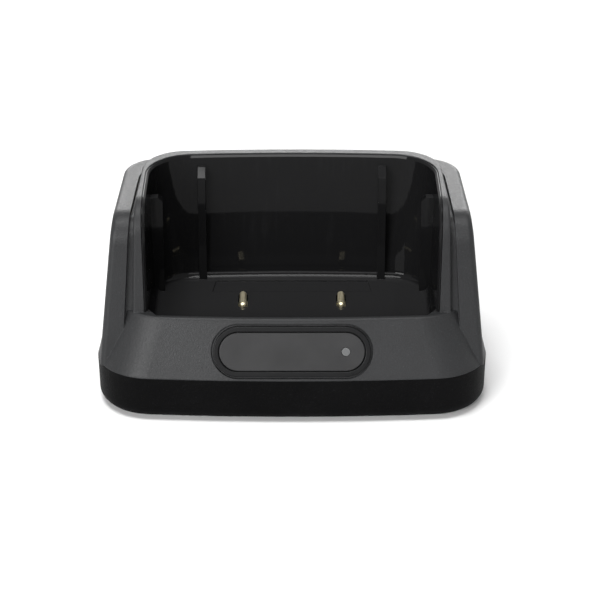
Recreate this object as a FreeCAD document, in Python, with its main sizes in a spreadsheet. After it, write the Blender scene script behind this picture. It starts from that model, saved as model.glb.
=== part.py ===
import FreeCAD, Part
import math
import os
import re
import Sketcher
from FreeCAD import Placement, Rotation, Vector

# Desktop charging cradle for a hand-held radio.
# X is to the right, Y to the back and Z up; the origin is the middle of the footprint at desk level.

SIZES = [
    # overall body
    ("body_width", 98.6), ("body_depth", 60.0), ("crease_height", 12.15), ("foot_drop", 0.6),
    ("front_corner", 14.0), ("back_corner", 12.0), ("front_bow", 500.0), ("back_bow", 900.0),
    ("side_narrowing", 1.6), ("shell_wall", 2.2), ("base_floor", 2.0), ("base_round", 3.0),
    ("base_taper", 1.5),
    # front band and lip of the upper housing
    ("lip_height", 26.7), ("lip_setback", 5.4), ("side_setback", 4.2), ("back_setback", 6.0),
    ("lip_depth", 4.0), ("lip_wall", 1.3), ("lip_plate", 5.0), ("lip_edge_round", 0.6),
    ("lip_gusset", 3.0), ("gusset_run", 4.6),
    # raised side and back walls
    ("rim_height", 54.3), ("band_drop", 3.2), ("wall_foot_inset", 0.4), ("wall_back_inset", 1.0),
    ("wall_rise_inset", 3.7), ("wall_narrowing", 2.2), ("wall_corner", 9.0), ("back_lean", 9.0),
    ("front_lean", 3.7), ("bend_radius", 7.0), ("rim_bend_radius", 8.0), ("front_edge_round", 1.4),
    ("front_column", 4.0), ("overrun", 3.0), ("overrun_corner", 1.0), ("groove_gap", 3.0),
    ("groove_gap_top", 1.0), ("groove_gap_back", 1.0), ("groove_depth", 1.5), ("groove_bend_radius", 4.3),
    ("rim_band", 2.9), ("rim_band_back", 3.2), ("rim_draft", 1.0), ("rim_narrowing", 1.6),
    ("rim_corner", 11.0), ("rim_edge_round", 0.5),
    # pocket that takes the radio
    ("pocket_floor", 20.5), ("pocket_half", 36.1), ("pocket_flare", 0.6), ("pocket_back", 11.9),
    ("pocket_back_flare", 2.5), ("pocket_corner", 11.0), ("pocket_narrowing", 0.4), ("pocket_bow", 420.0),
    ("pocket_fillet", 2.0),
    # liner of the pocket
    ("liner_wall", 1.6), ("liner_front", 0.9), ("liner_edge", 0.7), ("liner_floor", 2.0),
    ("liner_fit", 0.12), ("liner_return", 1.8), ("liner_sink", 0.25), ("liner_chamfer", 0.5),
    ("back_rib_x", 23.2), ("back_rib_width", 2.0), ("back_rib_face", 9.6), ("back_rib_top", 49.6),
    ("back_rib_lead", 2.9), ("back_rib_slope", 1.8), ("side_rib_y", 4.0),
    ("side_rib_width", 2.2), ("side_rib_tip", 32.9), ("side_rib_top", 46.0), ("side_rib_lead", 1.2),
    ("rib_root", 0.3), ("label_half_back", 19.8), ("label_half_front", 20.6), ("label_back", 9.0),
    ("label_front", 2.6), ("label_sink", 0.35),
    # badge on the front band
    ("badge_height", 19.15), ("badge_length", 39.3), ("badge_width", 12.7), ("badge_ring", 1.35),
    ("badge_gap", 0.15), ("badge_moat", 0.5), ("badge_sink", 0.9), ("badge_rise", 0.55),
    ("plate_rise", 0.3), ("badge_edge_round", 0.25),
    # lamp that shows through the badge
    ("lamp_x", 13.4), ("lamp_radius", 1.05), ("lamp_gap", 0.1), ("lamp_run", 4.2),
    ("lamp_clearance", 0.3), ("led_width", 2.0), ("led_length", 1.2), ("led_thickness", 0.8),
    # circuit board and what it carries
    ("board_top", 13.0), ("board_thickness", 1.6), ("board_half", 26.0), ("board_front", 4.2),
    ("board_back", 5.5), ("board_screw_x", 21.5), ("board_screw_front", 14.0), ("board_screw_back", 8.0),
    ("board_boss", 2.6), ("chip_width", 5.0), ("chip_length", 4.0), ("chip_thickness", 1.5),
    ("chip_x", 3.0), ("chip_y", 5.0), ("coil_side", 6.0), ("coil_thickness", 3.0), ("coil_core", 2.2),
    ("coil_x", 10.0), ("coil_y", 4.0), ("can_radius", 3.15), ("can_length", 5.8), ("can_base", 0.8),
    ("can_x", 13.0), ("can_y", 6.0), ("small_width", 2.0), ("small_length", 1.25),
    ("small_thickness", 0.6), ("small_pitch", 3.2), ("small_y", 12.0),
    # spring-loaded charging contacts
    ("contact_x", 12.6), ("contact_y", 2.35), ("contact_width", 1.7), ("contact_length", 7.2),
    ("contact_rise", 1.05), ("contact_round", 0.6), ("slot_gap", 0.35), ("flange_margin", 0.8),
    ("flange_thickness", 1.0), ("stop_gap", 0.05), ("cavity_gap", 0.25), ("block_wall", 1.6),
    ("block_gap", 0.15), ("spring_radius", 1.35), ("wire_radius", 0.17), ("spring_turns", 5.0),
    ("spring_gap", 0.12), ("pad_thickness", 0.2), ("pad_width", 3.6), ("pad_length", 6.0),
    # power inlet
    ("jack_width", 7.2), ("jack_body", 6.4), ("jack_length", 11.0), ("jack_bore", 1.85),
    ("jack_bore_depth", 8.5), ("jack_pin", 0.65), ("jack_pin_short", 1.0), ("port_radius", 3.1),
    ("port_gap", 0.5),
    # housing screws and the bosses that they join
    ("boss_radius", 2.9), ("boss_side", 4.9), ("boss_front", 17.0), ("boss_back", 16.0), ("boss_top", 24.0),
    ("boss_rib", 1.6), ("post_wall", 1.2), ("screw_radius", 1.25), ("screw_hole", 1.45),
    ("pilot_radius", 1.1), ("pilot_depth", 9.0), ("screw_length", 14.0), ("head_radius", 2.2),
    ("head_thickness", 1.5), ("head_gap", 0.3), ("head_depth", 5.0), ("cross_width", 0.6),
    ("cross_depth", 0.8),
    # board screws
    ("small_screw_radius", 0.95), ("small_head_radius", 1.8), ("small_head_thickness", 1.2),
    ("small_screw_length", 5.0), ("small_screw_gap", 0.15), ("thread_bite", 0.15),
    # posts under the liner
    ("post_x", 31.0), ("post_front", 17.0), ("post_back", 6.0), ("post_radius", 3.0), ("peg_radius", 1.2),
    ("peg_length", 2.0), ("peg_gap", 0.15),
    # rubber feet
    ("foot_radius", 4.5), ("foot_sink", 1.0), ("foot_side", 16.0), ("foot_end", 10.0), ("foot_round", 0.3),
    ("foot_gap", 0.1),
]

doc = FreeCAD.newDocument("RadioChargingCradle")
sheet = doc.addObject("Spreadsheet::Sheet", "Sizes")
for row, (alias, number) in enumerate(SIZES, start=1):
    sheet.set("A%d" % row, alias)
    sheet.set("B%d" % row, str(number))
    sheet.setAlias("B%d" % row, alias)
doc.recompute()

ALIASES = {alias for alias, number in SIZES}
NODES = []


def qualify(formula):
    """Turn 'body_width / 2' into the expression 'Sizes.body_width / 2'."""
    def full_name(word):
        return "Sizes." + word[0] if word[0] in ALIASES else word[0]

    return re.sub(r"[a-z_]+", full_name, str(formula))


def value(formula):
    return float(sheet.evalExpression(qualify(formula)))


def bind(thing, prop, formula):
    thing.setExpression(prop, qualify(formula))


def node(thing, label):
    """Name a finished sub-part; the name is also its file's name."""
    thing.Label = label
    NODES.append(thing)
    return thing


# ---------------------------------------------------------------- sketches

def origin_plane(body, role):
    return next(f for f in body.Origin.OriginFeatures if f.Role == role)


def new_sketch(body, name, plane="XY_Plane", offset="0"):
    sketch = body.newObject("Sketcher::SketchObject", name)
    sketch.AttachmentSupport = [(origin_plane(body, plane), "")]
    sketch.MapMode = "FlatFace"
    bind(sketch, "AttachmentOffset.Base.z", offset)
    return sketch


def limit(sketch, kind, formula, *where):
    """Add a dimension to a sketch and bind it to the sheet."""
    index = sketch.addConstraint(Sketcher.Constraint(kind, *where, value(formula)))
    sketch.setExpression("Constraints[%d]" % index, qualify(formula))


def polygon(body, name, points, plane="XY_Plane", offset="0"):
    """Closed outline of straight lines through points given as pairs of formulas."""
    sketch = new_sketch(body, name, plane, offset)
    corners = [Vector(value(a), value(b), 0) for a, b in points]
    for i, corner in enumerate(corners):
        sketch.addGeometry(Part.LineSegment(corner, corners[(i + 1) % len(corners)]), False)
    for i, (a, b) in enumerate(points):
        sketch.addConstraint(Sketcher.Constraint("Coincident", i, 2, (i + 1) % len(points), 1))
        limit(sketch, "DistanceX", a, -1, 1, i, 1)
        limit(sketch, "DistanceY", b, -1, 1, i, 1)
    return sketch


def circle(body, name, radius, x="0", y="0", plane="XY_Plane", offset="0"):
    sketch = new_sketch(body, name, plane, offset)
    sketch.addGeometry(Part.Circle(Vector(value(x), value(y), 0), Vector(0, 0, 1), value(radius)), False)
    limit(sketch, "Radius", radius, 0)
    limit(sketch, "DistanceX", x, -1, 1, 0, 3)
    limit(sketch, "DistanceY", y, -1, 1, 0, 3)
    return sketch


def stadium(body, name, length, width, along="X", offset="0"):
    """Slot outline centred on the sketch's origin, with round ends."""
    sketch = new_sketch(body, name, "XY_Plane", offset)
    radius = value(width) / 2
    reach = value(length) / 2 - radius
    turn = 0.0 if along == "X" else math.pi / 2
    ahead = Vector(math.cos(turn), math.sin(turn), 0)
    left = Vector(-ahead.y, ahead.x, 0)
    up = Vector(0, 0, 1)
    sketch.addGeometry(Part.LineSegment(ahead * -reach - left * radius, ahead * reach - left * radius), False)
    sketch.addGeometry(Part.ArcOfCircle(Part.Circle(ahead * reach, up, radius), turn - math.pi / 2,
                                        turn + math.pi / 2), False)
    sketch.addGeometry(Part.LineSegment(ahead * reach + left * radius, ahead * -reach + left * radius), False)
    sketch.addGeometry(Part.ArcOfCircle(Part.Circle(ahead * -reach, up, radius), turn + math.pi / 2,
                                        turn + math.pi * 1.5), False)
    for i in range(4):
        sketch.addConstraint(Sketcher.Constraint("Tangent", i, 2, (i + 1) % 4, 1))
    sketch.addConstraint(Sketcher.Constraint("Equal", 1, 3))
    sketch.addConstraint(Sketcher.Constraint("Symmetric", 1, 3, 3, 3, -1, 1))
    sketch.addConstraint(Sketcher.Constraint("Horizontal" if along == "X" else "Vertical", 0))
    limit(sketch, "Radius", "(%s) / 2" % width, 1)
    limit(sketch, "Distance", "(%s) - (%s)" % (length, width), 3, 3, 1, 3)
    return sketch


def shield(body, name, offset, half_front, half_back, front, back, r_front, r_back, bow_front, bow_back):
    """Mirror-symmetric outline: bowed front and back, straight sides and four round corners.

    half_front and half_back are the widest reach of the front and the back corners.
    """
    sketch = new_sketch(body, name, "XY_Plane", offset)
    rf, rb, bf, bb = value(r_front), value(r_back), value(bow_front), value(bow_back)
    front_mid = Vector(0, value(front) + bf, 0)
    back_mid = Vector(0, value(back) - bb, 0)
    xf, xb = value(half_front) - rf, value(half_back) - rb
    cf = Vector(xf, front_mid.y - math.sqrt((bf - rf) ** 2 - xf ** 2), 0)
    cb = Vector(xb, back_mid.y + math.sqrt((bb - rb) ** 2 - xb ** 2), 0)
    ahead = cb - cf
    slant = math.asin((rf - rb) / ahead.Length)
    ahead.normalize()
    out = ahead * math.sin(slant) + Vector(ahead.y, -ahead.x, 0) * math.cos(slant)
    a_front = math.atan2(cf.y - front_mid.y, cf.x)
    a_side = math.atan2(out.y, out.x)
    a_back = math.atan2(cb.y - back_mid.y, cb.x)
    flip = lambda v: Vector(-v.x, v.y, 0)

    def arc(mid, radius, start, end):
        sketch.addGeometry(Part.ArcOfCircle(Part.Circle(mid, Vector(0, 0, 1), radius), start, end), False)

    arc(front_mid, bf, math.pi - a_front - 2 * math.pi, a_front)
    arc(cf, rf, a_front, a_side)
    sketch.addGeometry(Part.LineSegment(cf + out * rf, cb + out * rb), False)
    arc(cb, rb, a_side, a_back)
    arc(back_mid, bb, a_back, math.pi - a_back)
    arc(flip(cb), rb, math.pi - a_back, math.pi - a_side)
    sketch.addGeometry(Part.LineSegment(flip(cb + out * rb), flip(cf + out * rf)), False)
    arc(flip(cf), rf, math.pi - a_side, math.pi - a_front)
    for i in range(8):
        sketch.addConstraint(Sketcher.Constraint("Tangent", i, 2, (i + 1) % 8, 1))
    sketch.addConstraint(Sketcher.Constraint("Equal", 1, 7))
    sketch.addConstraint(Sketcher.Constraint("Equal", 3, 5))
    sketch.addConstraint(Sketcher.Constraint("PointOnObject", 0, 3, -2))
    sketch.addConstraint(Sketcher.Constraint("PointOnObject", 4, 3, -2))
    sketch.addConstraint(Sketcher.Constraint("Horizontal", 1, 3, 7, 3))
    sketch.addConstraint(Sketcher.Constraint("Horizontal", 3, 3, 5, 3))
    limit(sketch, "Radius", bow_front, 0)
    limit(sketch, "Radius", r_front, 1)
    limit(sketch, "Radius", r_back, 3)
    limit(sketch, "Radius", bow_back, 4)
    limit(sketch, "DistanceX", "(%s) - (%s)" % (half_front, r_front), -1, 1, 1, 3)
    limit(sketch, "DistanceX", "(%s) - (%s)" % (half_back, r_back), -1, 1, 3, 3)
    limit(sketch, "DistanceY", "(%s) + (%s)" % (front, bow_front), -1, 1, 0, 3)
    limit(sketch, "DistanceY", "(%s) - (%s)" % (back, bow_back), -1, 1, 4, 3)
    return sketch


# ---------------------------------------------------------------- features

def new_body(name):
    return doc.addObject("PartDesign::Body", name)


def loft(body, first, *others):
    feature = body.newObject("PartDesign::AdditiveLoft", body.Name + "Loft")
    feature.Profile = first
    feature.Sections = list(others)
    feature.Ruled = True
    return feature


def pad(body, sketch, length, side="One side", down=False, taper=None):
    feature = body.newObject("PartDesign::Pad", sketch.Name + "Pad")
    feature.Profile = sketch
    feature.SideType = side
    feature.Reversed = down
    bind(feature, "Length", length)
    if taper:
        bind(feature, "TaperAngle", taper)
    return feature


def round_edges(body, feature, radius, chosen, kind="PartDesign::Fillet"):
    """Round or chamfer the edges of a feature that the function chosen picks out."""
    doc.recompute()
    names = ["Edge%d" % (i + 1) for i, edge in enumerate(feature.Shape.Edges) if chosen(edge)]
    dressed = body.newObject(kind, feature.Name + "Edges")
    dressed.Base = (feature, names)
    bind(dressed, "Radius" if kind.endswith("Fillet") else "Size", radius)
    return dressed


def fuse(name, *shapes):
    joined = doc.addObject("Part::MultiFuse", name)
    joined.Shapes = list(shapes)
    return joined


def common(name, *shapes):
    shared = doc.addObject("Part::MultiCommon", name)
    shared.Shapes = list(shapes)
    return shared


def cut(name, base, *tools):
    carved = doc.addObject("Part::Cut", name)
    carved.Base = base
    carved.Tool = tools[0] if len(tools) == 1 else fuse(name + "Tools", *tools)
    return carved


def group(name, *shapes):
    """Separate solids that share one node."""
    together = doc.addObject("Part::Compound", name)
    together.Links = list(shapes)
    return together


def place(thing, x="0", y="0", z="0"):
    for axis, formula in zip("xyz", (x, y, z)):
        bind(thing, "Placement.Base." + axis, formula)
    return thing


def box(name, size, corner):
    block = doc.addObject("Part::Box", name)
    for prop, formula in zip(("Length", "Width", "Height"), size):
        bind(block, prop, formula)
    return place(block, *corner)


def rod(name, radius, length, start, turned=None):
    """Cylinder from start along +Z, or along +Y when turned is "Y"."""
    cylinder = doc.addObject("Part::Cylinder", name)
    bind(cylinder, "Radius", radius)
    bind(cylinder, "Height", length)
    if turned == "Y":
        cylinder.Placement = Placement(Vector(), Rotation(Vector(1, 0, 0), -90))
    return place(cylinder, *start)


def on_band(thing, x="0", depth="0"):
    """Stand a thing on the leaning front band, its +Z along the band's outward normal."""
    thing.Placement = Placement(Vector(), Rotation(Vector(1, 0, 0), 90 - value(BAND_LEAN)))
    bind(thing, "Placement.Rotation.Angle", "90 - %s / 1 deg" % BAND_LEAN)
    return place(thing, x, "%s + (%s) * cos(%s)" % (BADGE_Y, depth, BAND_LEAN),
                 "badge_height - (%s) * sin(%s)" % (depth, BAND_LEAN))


# ---------------------------------------------------------------- shared places

HALF = "body_width / 2"
FRONT = "(0 - body_depth / 2)"
BACK = "(body_depth / 2)"
WALL_FRONT = "(lip_setback + lip_depth - body_depth / 2)"
POCKET_FRONT = "(lip_setback + lip_wall - body_depth / 2)"
BAND_TOP = "(rim_height - band_drop)"
BOARD_BOTTOM = "(board_top - board_thickness)"
BOARD_FRONT = "(board_front - body_depth / 2)"
BOARD_BACK = "(body_depth / 2 - board_back)"
BOSS_X = "(pocket_half + boss_side)"
FOOT_X = "(body_width / 2 - foot_side)"
FLOOR_UNDER = "(pocket_floor - liner_floor)"
LIP_UNDER = "(lip_height - lip_plate)"
BAND_LEAN = "atan(lip_setback / (lip_height - crease_height))"
BADGE_Y = "(lip_setback * (badge_height - crease_height) / (lip_height - crease_height) - body_depth / 2)"
RIM_HALF = "(pocket_half + pocket_flare + rim_band)"
RIM_BACK = "(pocket_back + pocket_back_flare + rim_band_back)"
LAMP_Y = "(%s + lamp_run * cos(%s))" % (BADGE_Y, BAND_LEAN)
LAMP_Z = "(badge_height - lamp_run * sin(%s))" % BAND_LEAN
PORT_HEIGHT = "(%s - jack_body / 2)" % BOARD_BOTTOM
PORT_FACE = "(%s - shell_wall - port_gap)" % BACK
SIDES = (("left", -1), ("right", 1))
SOFT_STEPS = 3


def front_at(height):
    """Where the leaning front edge of the walls stands at a height."""
    return "(%s + front_lean * (%s - lip_height) / (rim_height - crease_height))" % (WALL_FRONT, height)


def plan_loft(name, low, high, bows=("front_bow", "back_bow"), soft_edge=None):
    """Drafted block between two outlines, each (height, half_front, half_back, front, back, r_front, r_back).

    With soft_edge the last stretch curls inwards along a quarter circle of that radius.
    """
    body = new_body(name)
    sections = [shield(body, name + "Low", *low, *bows)]
    if soft_edge:
        for step in range(SOFT_STEPS + 1):
            angle = 90.0 * step / SOFT_STEPS
            drop = "%s * (1 - sin(%g deg))" % (soft_edge, angle)
            inset = "%s * (1 - cos(%g deg))" % (soft_edge, angle)
            height, half_front, half_back, front, back, r_front, r_back = high
            sections.append(shield(body, "%sSoft%d" % (name, step), "%s - %s" % (height, drop),
                                   "%s - %s" % (half_front, inset), "%s - %s" % (half_back, inset),
                                   "%s + %s" % (front, inset), "%s - %s" % (back, inset),
                                   "%s - %s" % (r_front, inset), "%s - %s" % (r_back, inset), *bows))
    else:
        sections.append(shield(body, name + "High", *high, *bows))
    loft(body, *sections)
    return body


def side_profile(name, points, bend=None, bend_radius=None):
    """Wide prism from an outline in the YZ plane, with its corner number bend rounded."""
    body = new_body(name)
    outline = polygon(body, name + "Outline", points, "YZ_Plane")
    prism = pad(body, outline, "body_width * 2", "Symmetric")
    if bend is not None:
        y, z = (value(formula) for formula in points[bend])
        round_edges(body, prism, bend_radius,
                    lambda e: all(abs(v.Y - y) < 0.01 and abs(v.Z - z) < 0.01 for v in e.Vertexes))
    return body


def wall_profile(name, setback, top, bend_radius):
    """The walls' side view: leaning front edge, round bend and level top."""
    rear = "(%s + overrun)" % BACK
    points = [("%s + %s" % (front_at("crease_height"), setback), "crease_height"),
              ("%s + %s" % (front_at(top), setback), top), (rear, top), (rear, "crease_height")]
    return side_profile(name, points, 1, bend_radius)


# ---------------------------------------------------------------- pocket

def pocket_loft(name, grow, bottom, front):
    """The pocket's drafted inside, or the same grown outwards by a wall."""
    low = (bottom, "pocket_half + " + grow, "pocket_half - pocket_narrowing + " + grow, front,
           "pocket_back + " + grow, "overrun_corner", "pocket_corner + " + grow)
    high = ("rim_height + overrun", "pocket_half + pocket_flare + " + grow,
            "pocket_half - pocket_narrowing + pocket_flare + " + grow, front,
            "pocket_back + pocket_back_flare + " + grow, "overrun_corner", "pocket_corner + " + grow)
    return plan_loft(name, low, high, ("front_bow", "pocket_bow"))


def front_disc(name, grow):
    """Wide disc whose rim is the lip's bowed inner face, or that face moved forwards."""
    return rod(name, "front_bow", "rim_height * 2", ("0", "%s + front_bow - %s" % (POCKET_FRONT, grow), "0"))


def corner_wedges(name, grow, bottom, top):
    """Wedges that cut off the pocket's two front corners, moved outwards by a wall."""
    wedges = []
    for side_name, side in SIDES:
        body = new_body(name + side_name.title())
        inner = "%d * (pocket_half + %s - lip_gusset * 2)" % (side, grow)
        outer = "%d * (pocket_half + %s + lip_gusset)" % (side, grow)
        outline = polygon(body, body.Name + "Outline", [
            (inner, POCKET_FRONT + " - gusset_run"), (outer, POCKET_FRONT + " + gusset_run * 2"),
            (outer, POCKET_FRONT + " - gusset_run")], offset=bottom)
        pad(body, outline, "%s - (%s)" % (top, bottom))
        wedges.append(body)
    return wedges


def pocket_void():
    """Space for the radio: closed by the lip in front and open above it."""
    space = pocket_loft("PocketSpace", "0", "pocket_floor", "%s - overrun" % FRONT)
    block = box("BelowLip", ("body_width * 2", "body_depth + overrun", "lip_height"),
                ("0 - body_width", "%s - body_depth" % POCKET_FRONT, "0"))
    hollow = cut("PocketHollow", space, cut("LipBlock", block, front_disc("LipDisc", "0")))
    doc.recompute()
    floor = value("pocket_floor")
    soft = doc.addObject("Part::Fillet", "PocketSoft")
    soft.Base = hollow
    radius = value("pocket_fillet")
    soft.Edges = [(i + 1, radius, radius) for i, edge in enumerate(hollow.Shape.Edges)
                  if all(abs(v.Z - floor) < 0.001 for v in edge.Vertexes)
                  and not all(v.Y < 0 for v in edge.Vertexes)]
    wedges = corner_wedges("PocketWedge", "0", "pocket_floor - rib_root", "lip_height")
    return cut("PocketVoid", soft, *wedges)


def dressed_edges(name, kind, base, size, chosen):
    """Part fillet or chamfer on the edges of a finished shape that the function chosen picks out."""
    doc.recompute()
    amount = value(size)
    dressed = doc.addObject(kind, name)
    dressed.Base = base
    dressed.Edges = [(i + 1, amount, amount) for i, edge in enumerate(base.Shape.Edges) if chosen(edge)]
    return dressed


def crosswise(edge):
    """True for an edge that runs right across the front of the walls."""
    middle = edge.CenterOfMass
    return abs(middle.x) < 1 and middle.y < 0


def elbow(name, radius):
    """Ball where the bent light pipe turns down to its lamp."""
    ball = doc.addObject("Part::Sphere", name)
    bind(ball, "Radius", radius)
    return place(ball, "lamp_x", LAMP_Y, LAMP_Z)


def four(name, shape_at, half, places):
    """One shape at each of four places: left and right, at two named depths."""
    return [shape_at("%s%s%s" % (name, side_name.title(), place_name), "%s * %d" % (half, side), y)
            for side_name, side in SIDES for place_name, y in places]


BOARD_SCREWS = (("Front", "0 - board_screw_front"), ("Back", "board_screw_back"))
POSTS = (("Front", "0 - post_front"), ("Back", "post_back"))
BOSSES = (("Front", FRONT + " + boss_front"), ("Back", BACK + " - boss_back"))
FEET = (("Front", FRONT + " + foot_end"), ("Back", BACK + " - foot_end"))


# ---------------------------------------------------------------- pocket liner

def liner_core(name, grow):
    """The liner's full wall, solid as yet: forward under the lip, set back from the walls' edges."""
    rear = "(%s + overrun)" % BACK
    top = "(rim_height - liner_return + %s)" % grow
    setback = "liner_return - " + grow
    points = [(FRONT, FLOOR_UNDER), (FRONT, LIP_UNDER),
              ("%s + %s" % (front_at(LIP_UNDER), setback), LIP_UNDER),
              ("%s + %s" % (front_at(top), setback), top), (rear, top), (rear, FLOOR_UNDER)]
    side = side_profile(name + "Side", points, 3, "rim_bend_radius - " + setback)
    plan = pocket_loft(name + "Plan", "liner_wall + " + grow, FLOOR_UNDER, "%s - overrun" % FRONT)
    disc = front_disc(name + "Disc", "(liner_front + %s)" % grow)
    block = common(name + "Block", common(name + "Bowed", plan, side), disc)
    return cut(name, block, *corner_wedges(name + "Wedge", "liner_front + " + grow, "0", LIP_UNDER))


def liner_edge_side():
    """Side view of the liner's thin edge, which alone shows inside the rim."""
    rear = "(%s + overrun)" % BACK
    top = "(rim_height - liner_sink)"
    points = [("%s + liner_sink" % front_at(LIP_UNDER), LIP_UNDER), ("%s + liner_sink" % front_at(top), top),
              (rear, top), (rear, LIP_UNDER)]
    return side_profile("LinerEdgeSide", points, 1, "rim_bend_radius - liner_sink")


def liner_tray(void):
    """Tray round the radio's space: a full wall, and above and before it a thin edge that follows the rim."""
    plan = pocket_loft("LinerEdgePlan", "liner_edge", FLOOR_UNDER, "%s - overrun" % FRONT)
    edge = common("LinerEdge", plan, liner_edge_side())
    tray = cut("LinerTray", fuse("LinerSkin", liner_core("LinerCore", "0"), edge), void)
    bend_foot = value("rim_height - rim_bend_radius")

    def inner_top(edge):
        on_void = all(Part.Vertex(v.Point).distToShape(void.Shape)[0] < 0.01 for v in edge.Vertexes)
        return on_void and edge.Length > value("liner_wall") and edge.BoundBox.ZMin > bend_foot

    return dressed_edges("LinerRim", "Part::Chamfer", tray, "liner_chamfer", inner_top)


def back_rib(name, side):
    """Upright guide on the back wall, its top sloped to lead the radio in."""
    body = new_body("BackRib" + name.title())
    x = "back_rib_x * %d" % side
    top = "(back_rib_top + back_rib_slope)"
    outline = polygon(body, body.Name + "Outline", [
        ("back_rib_face", "pocket_floor - rib_root"), ("back_rib_face", "back_rib_top"),
        ("back_rib_face + back_rib_lead", top), ("pocket_back + pocket_back_flare + rib_root", top),
        ("pocket_back + rib_root", "pocket_floor - rib_root")], "YZ_Plane", x)
    pad(body, outline, "back_rib_width", "Symmetric")
    return body


def side_rib(name, side):
    """Shorter upright guide on a side wall."""
    body = new_body("SideRib" + name.title())
    sign = "%d * " % side
    top = "(side_rib_top + side_rib_lead)"
    outline = polygon(body, body.Name + "Outline", [
        (sign + "side_rib_tip", "pocket_floor - rib_root"), (sign + "side_rib_tip", "side_rib_top"),
        (sign + "(side_rib_tip + side_rib_lead)", top), (sign + "(pocket_half + rib_root * 2)", top),
        (sign + "(pocket_half + rib_root)", "pocket_floor - rib_root")], "XZ_Plane", "0 - side_rib_y")
    pad(body, outline, "side_rib_width", "Symmetric")
    return body


def contact_slot(name, side):
    body = new_body("ContactSlot" + name.title())
    outline = stadium(body, body.Name + "Outline", "contact_length + slot_gap * 2",
                      "contact_width + slot_gap * 2", "Y")
    pad(body, outline, "liner_floor * 2")
    return place(body, "contact_x * %d" % side, "0 - contact_y", "pocket_floor - liner_floor * 1.5")


def label_recess():
    """Shallow field behind the contacts for a blank label."""
    body = new_body("LabelRecess")
    outline = polygon(body, "LabelOutline", [
        ("0 - label_half_front", "label_front"), ("label_half_front", "label_front"),
        ("label_half_back", "label_back"), ("0 - label_half_back", "label_back")],
        offset="pocket_floor - label_sink")
    pad(body, outline, "liner_floor")
    return body


def pocket_liner(void):
    ribs = [rib(name, side) for rib in (back_rib, side_rib) for name, side in SIDES]
    hanging = "%s + rib_root - board_top" % FLOOR_UNDER
    bosses = four("BoardBoss", lambda name, x, y: rod(name, "board_boss", hanging, (x, y, "board_top")),
                  "board_screw_x", BOARD_SCREWS)
    bosses += four("LinerBoss", lambda name, x, y: rod(name, "post_radius", hanging, (x, y, "board_top")),
                   "post_x", POSTS)
    pilot = "small_screw_length - board_thickness + small_screw_gap * 2"
    holes = four("BoardPilot", lambda name, x, y: rod(name, "small_screw_radius - thread_bite", pilot,
                                                      (x, y, "board_top")),
                 "board_screw_x", BOARD_SCREWS)
    holes += four("PegHole", lambda name, x, y: rod(name, "peg_radius + peg_gap", "peg_length + peg_gap",
                                                    (x, y, "board_top")), "post_x", POSTS)
    holes += [contact_slot(name, side) for name, side in SIDES]
    relief = rod("PipeRelief", "lamp_radius + lamp_clearance", "lamp_run", ("0", "0", "0"))
    holes += [on_band(relief, "lamp_x", "lamp_run"), elbow("ReliefElbow", "lamp_radius + lamp_clearance")]
    whole = fuse("LinerWhole", liner_tray(void), *ribs, *bosses)
    return node(cut("PocketLiner", whole, label_recess(), *holes), "pocket_liner")


# ---------------------------------------------------------------- upper housing

def skirt(name, inset, top, soft_edge=None):
    """Drafted block of the front band and the low sides, from the crease up to a height."""
    rise = "((%s - crease_height) / (lip_height - crease_height))" % top
    half_low = "%s - %s" % (HALF, inset)
    half_high = "%s - side_setback * %s" % (half_low, rise)
    low = ("crease_height", half_low, half_low + " - side_narrowing", "%s + %s" % (FRONT, inset),
           "%s - %s" % (BACK, inset), "front_corner - " + inset, "back_corner - " + inset)
    high = (top, half_high, half_high + " - side_narrowing",
            "%s + %s + lip_setback * %s" % (FRONT, inset, rise),
            "%s - %s - back_setback * %s" % (BACK, inset, rise),
            "front_corner - " + inset, "back_corner - " + inset)
    return plan_loft(name, low, high, soft_edge=soft_edge)


def wall_loft(name, inset):
    """Plan of the raised walls, narrower upwards; its front runs out beyond their front edge."""
    half_low = "%s - wall_foot_inset - %s" % (HALF, inset)
    half_high = half_low + " - wall_rise_inset"
    front = "%s - overrun" % FRONT
    back_low = "%s - wall_back_inset - %s" % (BACK, inset)
    low = ("crease_height", half_low, half_low + " - wall_narrowing", front, back_low, "overrun_corner",
           "wall_corner - " + inset)
    high = (BAND_TOP, half_high, half_high + " - wall_narrowing", front, back_low + " - back_lean",
            "overrun_corner", "wall_corner - " + inset)
    return plan_loft(name, low, high)


def rim_loft(name, gap_low, gap_high, gap_back):
    """Plan of the inner band round the pocket, or of the groove beyond it when gaps are given."""
    front = "%s - overrun" % FRONT
    half_low = "%s + rim_draft" % RIM_HALF
    low = ("crease_height", "%s + %s" % (half_low, gap_low), "%s - rim_narrowing + %s" % (half_low, gap_back),
           front, "%s + %s" % (RIM_BACK, gap_back), "overrun_corner", "rim_corner + " + gap_back)
    high = ("rim_height", "%s + %s" % (RIM_HALF, gap_high), "%s - rim_narrowing + %s" % (RIM_HALF, gap_back),
            front, "%s + %s" % (RIM_BACK, gap_back), "overrun_corner", "rim_corner + " + gap_back)
    return plan_loft(name, low, high, ("front_bow", "pocket_bow"))


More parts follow.
